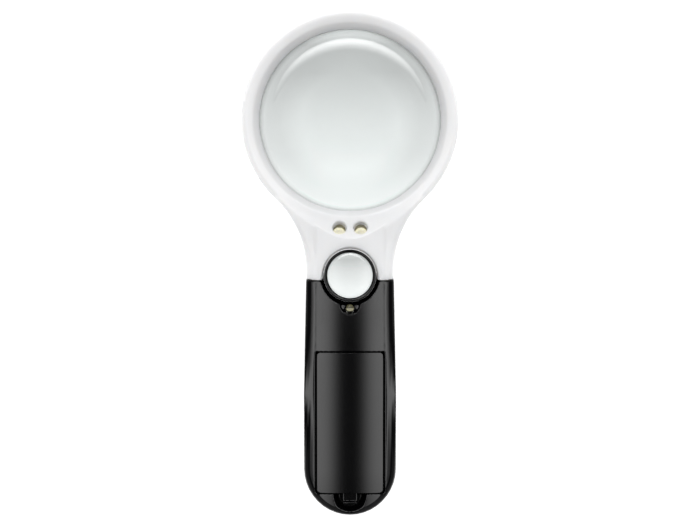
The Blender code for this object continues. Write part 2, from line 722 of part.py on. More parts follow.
def make_front_shell():
    """The black half that the magnifier lies on, with the thumb switch in a shallow scoop."""
    seam = SEAM_Y - GAP / 2
    outline = handle_outline(0, seam, END_Y)
    shell = slab("handle_front_shell", outline, FRONT_Z, 0, FRONT_EDGE_R, seam, BLACK_PLASTIC)
    hollow = slab(
        "front_hollow",
        handle_outline(WALL, BLOCK_Y, END_BLOCK_Y),
        SPLIT_Z + OVER,
        WALL,
        FRONT_EDGE_R - WALL,
        END_BLOCK_Y - 1,
    )
    low = (-SCOOP_PAD_HALF, UPPER_BULKHEAD[1] - 0.0004, FLOOR_SINK)
    pad = box("scoop_pad", low, (SCOOP_PAD_HALF, BLOCK_Y + 0.0004, 0.004))
    boolean(shell, "DIFFERENCE", hollow)
    boolean(shell, "UNION", pad)
    for name, (low, high) in (("upper", UPPER_BULKHEAD), ("lower", LOWER_BULKHEAD)):
        bulkhead = box(f"{name}_front_bulkhead", (-0.0126, low, FLOOR_SINK), (0.0126, high, FRONT_Z))
        boolean(shell, "UNION", bulkhead)
    for side in (-1, 1):
        posts = (
            ("board", BOARD_SCREW_X, BOARD_SCREW_Y, BOARD_Z[0] - GAP, 0.0020, 0.0011),
            ("shell", SHELL_SCREW_X, SHELL_SCREW_Y, FRONT_Z, 0.0024, 0.0013),
        )
        for name, x, y, top, radius, hole_r in posts:
            at = (side * x, y)
            post = rod(f"{name}_post_{side}", (*at, FLOOR_SINK), (*at, top), radius, segments=16)
            hole_name = f"{name}_post_hole_{side}"
            hole = rod(hole_name, (*at, POST_HOLE_FLOOR), (*at, top + OVER), hole_r, segments=12)
            boolean(shell, "UNION", post)
            boolean(shell, "DIFFERENCE", hole)
        inner, outer = sorted((side * CHANNEL_X[0], side * CHANNEL_X[1]))
        low = (inner, BLOCK_Y - OVER, CHANNEL_FLOOR)
        channel = box(f"front_channel_{side}", low, (outer, 0, SPLIT_Z + OVER))
        boolean(shell, "DIFFERENCE", channel)
    corner = (SCOOP_HALF_X - SCOOP_CORNER_R, SWITCH_Y + SCOOP_HALF_Y - SCOOP_CORNER_R)
    right = [(x, 2 * SWITCH_Y - y) for x, y in arc(corner, SCOOP_CORNER_R, 90, 0, 3)]
    right += arc(corner, SCOOP_CORNER_R, 0, 90, 3)
    scoop = prism("thumb_scoop", mirrored(right), -OVER, SCOOP_DEPTH, spread=-0.0016)
    low = (-SLOT_HALF, KNOB_REST_Y - SLOT_REACH, 0)
    slot = box("knob_slot", low, (SLOT_HALF, KNOB_REST_Y + SWITCH_TRAVEL + SLOT_REACH, 0.006))
    boolean(shell, "DIFFERENCE", scoop, slot, bpy.data.objects["barrel_bore"])


def make_door():
    """The battery door, cut from the same crowned surface, with two hooks under the shell's edge."""
    blank = handle_outline(0, -0.020, END_Y)
    door = slab("battery_door", blank, 0.012, HANDLE_TOP, REAR_EDGE_R, 1, BLACK_PLASTIC)
    under = slab(
        "door_underside",
        handle_outline(DOOR_THICK, -0.019, END_Y + DOOR_THICK),
        SPLIT_Z,
        HANDLE_TOP - DOOR_THICK,
        0.002,
        1,
        drop=DOOR_THICK,
    )
    corner_x = DOOR_HALF - DOOR_CORNER_R
    right = arc((corner_x, DOOR_END_Y + DOOR_CORNER_R), DOOR_CORNER_R, -90, 0, 3)
    right += arc((corner_x, DOOR_TOP_Y - DOOR_CORNER_R), DOOR_CORNER_R, 0, 90, 3)
    outline = prism("door_outline", mirrored(right), 0.014, CUT_TOP)
    boolean(door, "INTERSECT", outline, solver="MANIFOLD")
    boolean(door, "DIFFERENCE", under, solver="MANIFOLD")
    for side in (-1, 1):
        near, far = sorted((side * HOOK_X[0], side * HOOK_X[1]))
        root = box(f"hook_root_{side}", (near, -0.0368, HOOK_Z[0]), (far, -0.0350, HANDLE_TOP - 0.0018))
        hook = box(f"hook_{side}", (near, -0.0358, HOOK_Z[0]), (far, -0.0333, HOOK_Z[1]))
        boolean(door, "UNION", root, hook, solver="MANIFOLD")


def make_latch():
    """The springy finger tab at the door's lower edge."""
    profile = [
        (-0.0862, 0.0214),
        (-0.0862, 0.0226),
        (-0.0917, 0.0224),
        (-0.0922, 0.0234),
        (LATCH_END_Y, 0.0234),
        (LATCH_END_Y, 0.0222),
        (-0.0920, 0.0210),
        (-0.0904, 0.0210),
        (-0.0901, 0.0194),
        (-0.0894, 0.0194),
        (-0.0892, 0.0214),
    ]
    latch = side_prism("door_latch", profile, LATCH_HALF, BLACK_PLASTIC)
    edge = latch.modifiers.new("edge", "BEVEL")
    edge.width = 0.0002
    edge.segments = 1
    edge.limit_method = "ANGLE"


def make_cells():
    """Three AAA cells, two under the door and one nested behind them."""
    shoulder = 0.0004
    profile = [
        (0, CELL_LENGTH),
        (CELL_NUB_R, CELL_LENGTH),
        (CELL_NUB_R, CELL_LENGTH - CELL_NUB),
        (CELL_R - shoulder, CELL_LENGTH - CELL_NUB),
        (CELL_R, CELL_LENGTH - CELL_NUB - shoulder),
        (CELL_R, 0.0003),
        (CELL_R - 0.0003, 0),
        (0, 0),
    ]
    upper_end = UPPER_BULKHEAD[0] - GAP - PLATE_THICK - GAP
    lower_end = LOWER_BULKHEAD[1] + GAP + PLATE_THICK + GAP
    cells = (
        ("left", -CELL_PITCH / 2, PAIR_CELL_Z, 1),
        ("right", CELL_PITCH / 2, PAIR_CELL_Z, -1),
        ("middle", 0, MIDDLE_CELL_Z, 1),
    )
    for name, x, z, way in cells:
        foot = upper_end - CELL_LENGTH if way > 0 else lower_end + CELL_LENGTH
        turned(f"battery_{name}", profile, (x, foot, z), 20, CELL_SLEEVE, way=(0, way, 0))
        start = lower_end if way > 0 else upper_end
        coil(f"spring_{name}", x, z, start - way * GAP / 3, foot - way * GAP)


def coil(name, x, z, start_y, end_y):
    """A coil spring that narrows towards the cell."""
    inset = math.copysign(SPRING_WIRE_R, end_y - start_y)
    low = start_y + inset
    high = end_y - inset
    per_turn = 8
    count = SPRING_TURNS * per_turn
    route = []
    for step in range(count + 1):
        t = step / count
        angle = 2 * math.pi * step / per_turn
        radius = SPRING_BASE_R - SPRING_TAPER * t
        route.append((x + radius * math.cos(angle), low + (high - low) * t, z + radius * math.sin(angle)))
    wire(name, route, SPRING_WIRE_R, STEEL)


def plate(name, y, outline):
    """A flat contact: an (x, z) outline with the plate's thickness along Y."""
    bm = bmesh.new()
    face = bm.faces.new([bm.verts.new((x, y - PLATE_THICK / 2, z)) for x, z in outline])
    raised = bmesh.ops.extrude_face_region(bm, geom=[face])
    for item in raised["geom"]:
        if isinstance(item, bmesh.types.BMVert):
            item.co.y = y + PLATE_THICK / 2
    return finish_bmesh(name, bm, NICKEL)


def make_contacts():
    """Four plates that join the three cells in series."""
    upper_y = UPPER_BULKHEAD[0] - GAP - PLATE_THICK / 2
    lower_y = LOWER_BULKHEAD[1] + GAP + PLATE_THICK / 2
    ear = [(-0.0128, 0.0102), (-0.0095, 0.0102), (-0.0085, 0.0128)]
    blade = [(-0.0020, 0.0150), (-0.0020, 0.0200), (-0.0100, 0.0200), (-0.0100, 0.0122), (-0.0128, 0.0122)]
    plate("contact_positive", upper_y, ear + blade)
    foot = [(-0.0042, 0.0035), (0.0042, 0.0035), (0.0046, 0.0110), (0.0100, 0.0135)]
    head = [(0.0100, 0.0200), (0.0010, 0.0200), (0.0010, 0.0130), (-0.0042, 0.0115)]
    plate("contact_bridge_upper", upper_y, foot + head)
    bar = [(-0.0100, 0.0132), (0.0100, 0.0132), (0.0100, 0.0200), (-0.0100, 0.0200)]
    plate("contact_bridge_lower", lower_y, bar)
    tab = [(-0.0042, 0.0035), (0.0110, 0.0035), (0.0110, 0.0058)]
    pad = [(0.0042, 0.0070), (0.0042, 0.0124), (-0.0042, 0.0124)]
    plate("contact_negative", lower_y, tab + pad)


def knob_block(name, half, low_z, high_z, skin=None):
    """A square block on the knob's middle."""
    return box(name, (-half, KNOB_REST_Y - half, low_z), (half, KNOB_REST_Y + half, high_z), skin)


def make_switch():
    """The thumb knob with its slider, the switch housing above them and the board."""
    start, end = KNOB_REST_Y - KNOB_HALF, KNOB_REST_Y + KNOB_HALF
    profile = [(start, 0.0022), (start, 0.0016)]
    for rib in range(KNOB_RIBS):
        y = KNOB_REST_Y + (rib - (KNOB_RIBS - 1) / 2) * RIB_PITCH
        profile += [(y - 0.00045, 0.0010), (y - 0.0002, 0.0004)]
        profile += [(y + 0.0002, 0.0004), (y + 0.00045, 0.0010)]
    profile += [(end, 0.0016), (end, 0.0022)]
    knob = side_prism("switch_knob", profile, KNOB_HALF, BLACK_GLOSS)
    stem = knob_block("knob_stem", STEM_HALF, 0.0018, 0.0042)
    socket = knob_block("knob_socket", SOCKET_HALF, 0.0026, 0.0060)
    boolean(knob, "UNION", stem)
    boolean(knob, "DIFFERENCE", socket)
    knob_block("switch_slider", SLIDER_HALF, 0.0029, 0.0056, BLACK_GLOSS)
    low = (-HOUSING_HALF, SWITCH_Y - 0.0043, 0.0046)
    housing = box("switch_housing", low, (HOUSING_HALF, SWITCH_Y + 0.0040, BOARD_Z[0] - GAP), STEEL)
    reach = SWITCH_TRAVEL / 2 + SOCKET_HALF
    low = (-SOCKET_HALF, SWITCH_Y - reach, 0.0040)
    track = box("switch_track", low, (SOCKET_HALF, SWITCH_Y + reach, 0.0059))
    boolean(housing, "DIFFERENCE", track)


def make_board():
    """The circuit board with two resistors and its screws."""
    low = (-BOARD_HALF, BOARD_Y[0], BOARD_Z[0])
    board = box("switch_board", low, (BOARD_HALF, BOARD_Y[1], BOARD_Z[1]), BOARD_GREEN)
    for side in (-1, 1):
        at = (side * BOARD_SCREW_X, BOARD_SCREW_Y)
        low, high = (*at, BOARD_Z[0] - OVER), (*at, BOARD_Z[1] + OVER)
        hole = rod(f"board_hole_{side}", low, high, BOARD_HOLE_R, segments=12)
        boolean(board, "DIFFERENCE", hole)
    for name, y in (("main", -0.0318), ("small", -0.0272)):
        half = [
            (0, RESISTOR_LEAD_HALF),
            (RESISTOR_LEAD_R, RESISTOR_LEAD_HALF),
            (RESISTOR_LEAD_R, RESISTOR_HALF),
            (RESISTOR_R, RESISTOR_HALF - 0.0003),
            (RESISTOR_R * 0.85, RESISTOR_HALF - 0.0012),
        ]
        profile = half + [(r, -reach) for r, reach in reversed(half)]
        middle = (0, y, BOARD_Z[1] + GAP + RESISTOR_R)
        turned(f"resistor_{name}", profile, middle, 12, RESISTOR_TAN, way=(1, 0, 0))


def screw(name, x, y, under_head, head_r, shank_r, length):
    """A pan-head screw standing on its tip."""
    profile = [
        (0, under_head + 0.0010),
        (head_r * 0.8, under_head + 0.0009),
        (head_r, under_head + 0.0004),
        (head_r, under_head),
        (shank_r, under_head),
        (shank_r, under_head - length + 0.0008),
        (0, under_head - length),
    ]
    made = turned(name, profile, (x, y, 0), 16, STEEL)
    for turn in (0, 1):
        long, short = (head_r * 0.6, CROSS_HALF) if turn else (CROSS_HALF, head_r * 0.6)
        low = (x - long, y - short, under_head + 0.0005)
        high = (x + long, y + short, under_head + 0.0020)
        boolean(made, "DIFFERENCE", box(f"{name}_cross_{turn}", low, high))


def make_screws():
    for name, side in (("left", -1), ("right", 1)):
        screw(f"board_screw_{name}", side * BOARD_SCREW_X, BOARD_SCREW_Y, BOARD_Z[1] + GAP, *BOARD_SCREW)
        screw(f"shell_screw_{name}", side * SHELL_SCREW_X, SHELL_SCREW_Y, LEDGE_TOP + GAP, *SHELL_SCREW)


def make_wires():
    """Wires from the cells to the board, and from the board to the lamps."""
    over_board = BOARD_Z[1] + GAP + WIRE_R
    red = [
        (-0.0122, -0.0364, 0.0112),
        (-0.0118, -0.0350, 0.0112),
        (-0.0100, -0.0336, 0.0110),
        (-0.0070, -0.0335, over_board),
    ]
    wire("battery_wire_red", smooth_route(red), WIRE_R, RED_WIRE)
    black = [
        (0.0116, LOWER_BULKHEAD[1] + 0.0010, 0.0048),
        (0.0138, LOWER_BULKHEAD[1] + 0.0034, 0.0048),
        (0.0141, -0.0780, 0.0050),
        (0.0141, -0.0600, 0.0050),
        (0.0141, -0.0420, 0.0050),
        (0.0138, -0.0350, 0.0065),
        (0.0118, -0.0328, 0.0098),
        (0.0082, -0.0330, over_board),
    ]
    wire("battery_wire_black", smooth_route(black, 2), WIRE_R, BLACK_WIRE)
    for name, side, skin in (("red", -1, RED_WIRE), ("black", 1, BLACK_WIRE)):
        knots = [
            (side * 0.0078, 0.0085, 0.0056),
            (side * 0.0110, 0.0062, 0.0066),
            (side * 0.0144, 0.0000, 0.0090),
            (side * 0.0147, -0.0080, 0.0100),
            (side * 0.0147, -0.0160, 0.0105),
            (side * 0.0138, -0.0230, 0.0108),
            (side * 0.0112, -0.0262, 0.0112),
            (side * 0.0070, -0.0240, over_board),
        ]
        wire(f"led_wire_{name}", smooth_route(knots, 2), WIRE_R, skin)
        short = [
            (side * 0.0007, -0.0227, 0.0116),
            (side * 0.0014, -0.0236, 0.0112),
            (side * 0.0024, -0.0246, over_board),
        ]
        wire(f"led_small_wire_{name}", smooth_route(short, 2), WIRE_R * 0.8, skin)


make_head()
make_lenses()
make_lamps()
make_rear_shell()
make_front_shell()
make_door()
make_latch()
make_cells()
make_contacts()
make_switch()
make_board()
make_screws()
make_wires()
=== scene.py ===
"""Studio view of an illuminated two-lens magnifier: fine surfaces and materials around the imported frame."""

import json
import math
import bmesh
import bpy
import numpy as np
from mathutils import Matrix, Vector


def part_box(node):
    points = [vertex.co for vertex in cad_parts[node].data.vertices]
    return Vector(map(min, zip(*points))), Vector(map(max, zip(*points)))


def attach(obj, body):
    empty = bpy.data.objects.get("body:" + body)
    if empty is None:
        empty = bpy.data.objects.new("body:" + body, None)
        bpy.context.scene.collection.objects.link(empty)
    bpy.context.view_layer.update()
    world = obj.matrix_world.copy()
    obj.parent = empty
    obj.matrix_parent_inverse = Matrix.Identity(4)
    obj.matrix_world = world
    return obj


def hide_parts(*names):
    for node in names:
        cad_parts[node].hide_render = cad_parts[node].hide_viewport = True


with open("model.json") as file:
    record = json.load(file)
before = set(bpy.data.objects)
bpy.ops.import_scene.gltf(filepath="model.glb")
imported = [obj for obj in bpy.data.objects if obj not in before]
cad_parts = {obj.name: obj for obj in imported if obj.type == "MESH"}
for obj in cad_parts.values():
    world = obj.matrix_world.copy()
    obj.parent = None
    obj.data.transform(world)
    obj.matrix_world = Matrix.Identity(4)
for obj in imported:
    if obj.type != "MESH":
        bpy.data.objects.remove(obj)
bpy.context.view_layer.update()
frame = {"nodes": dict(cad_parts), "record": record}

NODES = frame["nodes"]

# ---- Places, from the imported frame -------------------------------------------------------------
LENS_LOW, LENS_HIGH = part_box("main_lens")
RING_LOW, RING_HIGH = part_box("head_rear_cover")
SMALL_LOW, SMALL_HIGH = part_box("small_lens")
BARREL_LOW, BARREL_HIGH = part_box("small_lens_barrel")
SHELL_LOW, SHELL_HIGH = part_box("handle_rear_shell")
LENS_MID = (LENS_LOW + LENS_HIGH) / 2
SMALL_MID = (SMALL_LOW + SMALL_HIGH) / 2
RING_R = (RING_HIGH.x - RING_LOW.x) / 2
RING_FACETS = 56
HANDLE_HALF = (SHELL_HIGH.x - SHELL_LOW.x) / 2
SHELL_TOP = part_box("battery_door")[1].z
END_CENTRE_Y = SHELL_LOW.y + HANDLE_HALF

# The law of the crowned rear surface, as the handle and the neck are built to it.
NECK_TOP = 0.0184
HANDLE_TOP = 0.025
RISE_START_Y = 0.012
RISE_END_Y = -0.038
END_DROP = 0.0015
CROWN_R = 0.045
CROWN_MOST = 0.005
NECK_CROWN = 0.0022
CROWN_START_Y = 0.014
CROWN_FULL_Y = -0.0075
DISH_R = 0.0390
DISH_Z = 0.01415
DISH_ANGLE = math.radians(27)
SMALL_LAMP_ANGLE = math.radians(20)

# The floor's own glow and the radii between which it fades, then the same for the spot under the small lens.
FLOOR_GLOW = 0.68
FLOOR_FADE = (0.17, 0.36)
SPOT_GLOW = 0.26
SPOT_FADE = (0.008, 0.014)

# The part of a noise texture's range that the colours and roughness are spread over.
NOISE_LOW = 0.3
NOISE_HIGH = 0.7

# The handle's gloss: its level facing the view and at a slant, and the slants between which it falls.
GLOSS_LEVELS = (0.86, 0.04)
GLOSS_FALL = (0.06, 0.18)

RESISTOR_HALF = 0.0038


# ---- Node helpers ------------------------------------------------------------------------------
def grey(level):
    return (level, level, level)


def fill_ramp(node, stops):
    """Sets a colour ramp's stops, two of which it has from the start."""
    elements = node.color_ramp.elements
    for element, (position, colour) in zip(elements, stops):
        element.position = position
        element.color = (*colour, 1)
    for position, colour in stops[2:]:
        elements.new(position).color = (*colour, 1)


class Skin:
    """A material whose colour, roughness and bump come from nodes."""

    def __init__(self, name, roughness=0.5, metallic=0.0, **sockets):
        self.material = bpy.data.materials.new(name)
        self.material.use_nodes = True
        self.tree = self.material.node_tree
        self.shader = self.tree.nodes["Principled BSDF"]
        self.shader.inputs["Roughness"].default_value = roughness
        self.shader.inputs["Metallic"].default_value = metallic
        for socket, value in sockets.items():
            self.shader.inputs[socket.replace("_", " ")].default_value = value
        self.coords = self.add("ShaderNodeTexCoord").outputs["Object"]

    def add(self, kind, **settings):
        node = self.tree.nodes.new(kind)
        for key, value in settings.items():
            setattr(node, key, value)
        return node

    def link(self, source, target):
        self.tree.links.new(source, target)

    def noise(self, scale, detail=3.0, roughness=0.55, stretch=None):
        texture = self.add("ShaderNodeTexNoise")
        texture.inputs["Scale"].default_value = scale
        texture.inputs["Detail"].default_value = detail
        texture.inputs["Roughness"].default_value = roughness
        if stretch:
            mapping = self.add("ShaderNodeMapping")
            mapping.inputs["Scale"].default_value = stretch
            self.link(self.coords, mapping.inputs["Vector"])
            self.link(mapping.outputs["Vector"], texture.inputs["Vector"])
        else:
            self.link(self.coords, texture.inputs["Vector"])
        return texture.outputs["Fac"]

    def ramp(self, factor, stops):
        ramp = self.add("ShaderNodeValToRGB")
        fill_ramp(ramp, stops)
        self.link(factor, ramp.inputs["Fac"])
        return ramp.outputs["Color"]

    def colour(self, factor, low, high):
        self.link(self.ramp(factor, [(NOISE_LOW, low), (NOISE_HIGH, high)]), self.shader.inputs["Base Color"])

    def rough(self, factor, low, high):
        self.link(self.spread(factor, NOISE_LOW, NOISE_HIGH, low, high), self.shader.inputs["Roughness"])

    def bump(self, factor, strength, distance):
        bump = self.add("ShaderNodeBump")
        bump.inputs["Strength"].default_value = strength
        bump.inputs["Distance"].default_value = distance
        self.link(factor, bump.inputs["Height"])
        self.link(bump.outputs["Normal"], self.shader.inputs["Normal"])

    def spread(self, value, start, end, low=0.0, high=1.0, **settings):
        """A value mapped from start..end to low..high."""
        node = self.add("ShaderNodeMapRange", **settings)
        for socket, number in (("From Min", start), ("From Max", end), ("To Min", low), ("To Max", high)):
            node.inputs[socket].default_value = number
        self.link(value, node.inputs["Value"])
        return node.outputs["Result"]

    def along(self, axis):
        split = self.add("ShaderNodeSeparateXYZ")
        self.link(self.coords, split.inputs["Vector"])
        return split.outputs[axis]


def white_plastic():
    skin = Skin("white_plastic", Specular_IOR_Level=0.5, Subsurface_Weight=0.6, Subsurface_Scale=0.006)
    skin.shader.inputs["Subsurface Radius"].default_value = (1.0, 0.95, 0.9)
    skin.colour(skin.noise(60), (0.915, 0.915, 0.927), (0.935, 0.935, 0.945))
    skin.rough(skin.noise(900), 0.20, 0.27)
    skin.bump(skin.noise(420, 2), 0.05, 0.0001)
    return skin.material


def black_plastic():
    """Satin black. Unlike real plastic, it loses its gloss at a slant, to keep the handle's edges dark."""
    skin = Skin("black_plastic", Specular_IOR_Level=0.86)
    skin.colour(skin.noise(80), (0.0016, 0.0016, 0.0019), (0.0024, 0.0024, 0.0028))
    skin.rough(skin.noise(1500), 0.17, 0.21)
    facing = skin.add("ShaderNodeLayerWeight").outputs["Facing"]
    gloss = skin.spread(facing, *GLOSS_FALL, *GLOSS_LEVELS)
    skin.link(gloss, skin.shader.inputs["Specular IOR Level"])
    skin.bump(skin.noise(5200, 2), 0.05, 0.00003)
    return skin.material


def black_gloss():
    skin = Skin("black_gloss", Specular_IOR_Level=0.5)
    skin.colour(skin.noise(120), (0.004, 0.004, 0.005), (0.008, 0.008, 0.009))
    skin.rough(skin.noise(1200), 0.18, 0.26)
    skin.bump(skin.noise(900, 2), 0.04, 0.00005)
    return skin.material


def lens_glass(name, low, high, tint, rim):
    """Clear acrylic. The light-to-dark slope along Y and the darker rim are painted in its colour.

    They imitate the room that a real lens shows, which the plain studio lacks.
    """
    skin = Skin(name, roughness=0.0, Transmission_Weight=1.0, IOR=1.49)
    along = skin.spread(skin.along("Y"), low.y, high.y)
    blend = skin.add("ShaderNodeMath", operation="MULTIPLY_ADD")
    blend.inputs[1].default_value = 0.02
    skin.link(skin.noise(25), blend.inputs[0])
    skin.link(along, blend.inputs[2])
    # The far face mirrors nothing, or the strip light would show in the lens a second time.
    outside = skin.add("ShaderNodeMath", operation="SUBTRACT")
    outside.inputs[0].default_value = 1
    skin.link(skin.add("ShaderNodeNewGeometry").outputs["Backfacing"], outside.inputs[1])
    skin.link(outside.outputs["Value"], skin.shader.inputs["Specular Tint"])
    middle, radius = (low + high) / 2, (high.x - low.x) / 2
    mapping = skin.add("ShaderNodeMapping")
    mapping.inputs["Scale"].default_value = (1 / radius, 1 / radius, 0)
    mapping.inputs["Location"].default_value = (-middle.x / radius, -middle.y / radius, 0)
    skin.link(skin.coords, mapping.inputs["Vector"])
    inward = skin.add("ShaderNodeTexGradient", gradient_type="SPHERICAL")
    skin.link(mapping.outputs["Vector"], inward.inputs["Vector"])
    # The colour is a faint cool tint times painted shade: darker along Y from the tint ramp, darker at the rim
    # from the rim ramp.
    both = skin.add("ShaderNodeMix", data_type="RGBA", blend_type="MULTIPLY")
    both.inputs["Factor"].default_value = 1
    skin.link(skin.ramp(blend.outputs["Value"], tint), both.inputs[6])
    skin.link(skin.ramp(inward.outputs["Fac"], rim), both.inputs[7])
    skin.link(both.outputs[2], skin.shader.inputs["Base Color"])
    return skin.material


def lamp_resin():
    skin = Skin("lamp_resin", roughness=0.05, Transmission_Weight=1.0, IOR=1.52)
    skin.colour(skin.noise(300), (0.97, 0.97, 0.93), (0.99, 0.99, 0.96))
    return skin.material


def phosphor():
    # The faint emission is painted light: the phosphor glows although the lamp is not lit.
    skin = Skin("lamp_phosphor_painted_glow", Specular_IOR_Level=0.3, Emission_Strength=0.35)
    skin.shader.inputs["Emission Color"].default_value = (1.0, 0.97, 0.82, 1)
    skin.colour(skin.noise(4000), (0.90, 0.86, 0.62), (0.96, 0.93, 0.76))
    skin.rough(skin.noise(3000), 0.5, 0.7)
    return skin.material


def metal(name, low, high, rough_low, rough_high, stretch=(1, 1, 1)):
    skin = Skin(name, metallic=1.0)
    skin.colour(skin.noise(500, stretch=stretch), low, high)
    skin.rough(skin.noise(1400, stretch=stretch), rough_low, rough_high)
    skin.bump(skin.noise(2500, stretch=stretch), 0.08, 0.00003)
    return skin.material


def cell_sleeve():
    """A cell's foil sleeve: dark blue with a copper-coloured band and bare metal ends.

    The band follows battery_left, so the cell that is turned round shows it at the same end as the others.
    """
    skin = Skin("cell_sleeve", Coat_Weight=0.4, Coat_Roughness=0.1)
    low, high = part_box("battery_left")
    along = skin.spread(skin.along("Y"), low.y, high.y)
    steel, blue, copper = (0.55, 0.55, 0.53), (0.012, 0.030, 0.110), (0.46, 0.20, 0.07)
    stops = [(0.0, steel), (0.012, steel), (0.014, blue), (0.76, blue)]
    stops += [(0.77, copper), (0.965, copper), (0.975, steel)]
    skin.link(skin.ramp(along, stops), skin.shader.inputs["Base Color"])
    skin.rough(skin.noise(700), 0.18, 0.30)
    skin.bump(skin.noise(350), 0.05, 0.0001)
    return skin.material


def board_green():
    """Solder mask over copper tracks that show as faintly lighter lines."""
    skin = Skin("board_green", Coat_Weight=0.5, Coat_Roughness=0.15)
    tracks = skin.add("ShaderNodeTexBrick")
    tracks.inputs["Scale"].default_value = 160
    tracks.inputs["Mortar Size"].default_value = 0.06
    tracks.inputs["Color1"].default_value = (0.010, 0.085, 0.030, 1)
    tracks.inputs["Color2"].default_value = (0.012, 0.095, 0.034, 1)
    tracks.inputs["Mortar"].default_value = (0.030, 0.150, 0.055, 1)
    skin.link(skin.coords, tracks.inputs["Vector"])
    skin.link(tracks.outputs["Color"], skin.shader.inputs["Base Color"])
    skin.rough(skin.noise(900), 0.3, 0.45)
    return skin.material


def resistor_bands():
    """Tan lacquer with coloured bands along X."""
    skin = Skin("resistor_tan", Coat_Weight=0.4)
    along = skin.spread(skin.along("X"), -RESISTOR_HALF, RESISTOR_HALF)
    tan, wire = (0.52, 0.38, 0.20), (0.60, 0.60, 0.58)
    bands = [
        (0.28, (0.30, 0.05, 0.02)),
        (0.40, (0.01, 0.01, 0.01)),
        (0.52, (0.25, 0.10, 0.03)),
        (0.68, (0.50, 0.33, 0.08)),
    ]
    stops = [(0.0, wire), (0.13, wire), (0.135, tan)]
    for start, tint in bands:
        stops += [(start, tan), (start + 0.005, tint), (start + 0.055, tint), (start + 0.06, tan)]
    stops += [(0.865, tan), (0.87, wire)]
    skin.link(skin.ramp(along, stops), skin.shader.inputs["Base Color"])
    skin.rough(skin.noise(900), 0.25, 0.4)
    return skin.material


def insulation(name, low, high):
    skin = Skin(name, Coat_Weight=0.2)
    skin.colour(skin.noise(300), low, high)
    skin.rough(skin.noise(900), 0.35, 0.5)
    return skin.material


def paper_floor():
    """A pale, glowing table top that shows hardly any shadow, brightest under the small lens."""
    skin = Skin("studio_floor", roughness=0.9, Specular_IOR_Level=0.0)
    skin.shader.inputs["Emission Color"].default_value = (1, 1, 1, 1)
    away = skin.add("ShaderNodeVectorMath", operation="LENGTH")
    skin.link(skin.coords, away.inputs[0])
    soft = {"interpolation_type": "SMOOTHSTEP"}
    glow = skin.spread(away.outputs["Value"], *FLOOR_FADE, FLOOR_GLOW, 0, **soft)
    off = skin.add("ShaderNodeVectorMath", operation="DISTANCE")
    off.inputs[1].default_value = (SMALL_MID.x, SMALL_MID.y, 0)
    skin.link(skin.coords, off.inputs[0])
    spot = skin.spread(off.outputs["Value"], *SPOT_FADE, SPOT_GLOW, 0, **soft)
    total = skin.add("ShaderNodeMath", operation="ADD")
    skin.link(glow, total.inputs[0])
    skin.link(spot, total.inputs[1])
    skin.link(total.outputs["Value"], skin.shader.inputs["Emission Strength"])
    skin.colour(skin.noise(8), (0.93, 0.93, 0.93), (0.95, 0.95, 0.95))
    skin.bump(skin.noise(600), 0.02, 0.0001)
    return skin.material


def cool(level):
    """A grey with a trace of green and blue."""
    return (level * 0.965, level, level * 0.99)


# Painted shade in the main lens's colour: a faint cool tint that grows darker towards +Y, and a darker painted
# rim.
MAIN_TINT_AND_PAINTED_SHADE = [
    (0.0, cool(1.0)),
    (0.134, cool(0.93)),
    (0.342, cool(0.785)),
    (0.497, cool(0.735)),
    (0.602, cool(0.69)),
    (0.758, cool(0.61)),
    (0.90, cool(0.64)),
    (1.0, cool(1.0)),
]
MAIN_PAINTED_RIM_SHADE = [(0.058, grey(0.50)), (0.08, grey(0.72)), (0.11, grey(0.84)), (0.27, grey(0.87)), (0.5, grey(1.0))]
# The same painted shade for the small lens: darker towards +Y and at its rim.
SMALL_TINT_AND_PAINTED_SHADE = [(0.0, cool(0.99)), (0.25, cool(0.93)), (0.6, cool(0.78)), (0.85, cool(0.60)), (1.0, cool(0.72))]
SMALL_PAINTED_RIM_SHADE = [(0.0, grey(0.70)), (0.06, grey(0.90)), (0.15, grey(1.0))]
SKINS = {
    "white_plastic": white_plastic(),
    "black_plastic": black_plastic(),
    "black_gloss": black_gloss(),
    "lens_glass": lens_glass("lens_glass", LENS_LOW, LENS_HIGH, MAIN_TINT_AND_PAINTED_SHADE, MAIN_PAINTED_RIM_SHADE),
    "lamp_resin": lamp_resin(),
    "cell_sleeve": cell_sleeve(),
    "nickel": metal("nickel", (0.62, 0.60, 0.55), (0.74, 0.72, 0.68), 0.2, 0.35),
    "steel": metal("steel", (0.50, 0.51, 0.52), (0.62, 0.63, 0.65), 0.22, 0.38),
    "board_green": board_green(),
    "resistor_tan": resistor_bands(),
    "red_wire": insulation("red_wire", (0.42, 0.02, 0.02), (0.50, 0.03, 0.025)),
    "black_wire": insulation("black_wire", (0.012, 0.012, 0.012), (0.02, 0.02, 0.02)),
}


# ---- Mesh helpers ------------------------------------------------------------------------------
def dress(piece, slot, body, *nodes):
    """Gives a piece its material, its body, and the CAD nodes that it stands for."""
    piece.data.materials.clear()
    piece.data.materials.append(SKINS[slot])
    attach(piece, body)
    if nodes:
        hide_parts(*nodes)
    return piece


def object_from(name, mesh):
    piece = bpy.data.objects.new(name, mesh)
    bpy.context.scene.collection.objects.link(piece)
    return piece


def bake_modifiers(piece):
    graph = bpy.context.evaluated_depsgraph_get()
    mesh = bpy.data.meshes.new_from_object(piece.evaluated_get(graph))
    piece.modifiers.clear()
    piece.data = mesh
    return mesh


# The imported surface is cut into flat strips, whose middle one lies this much under the crown.
CROWN_SAG = HANDLE_TOP - SHELL_TOP
# The handle's long edges are rounded over this width, and the crown gives way to them over the next.
EDGE_ROUND = 0.0036
EDGE_BLEND = 0.0012


def eased(start, end, y):
    t = np.clip((start - y) / (start - end), 0, 1)
    return t * t * (3 - 2 * t)


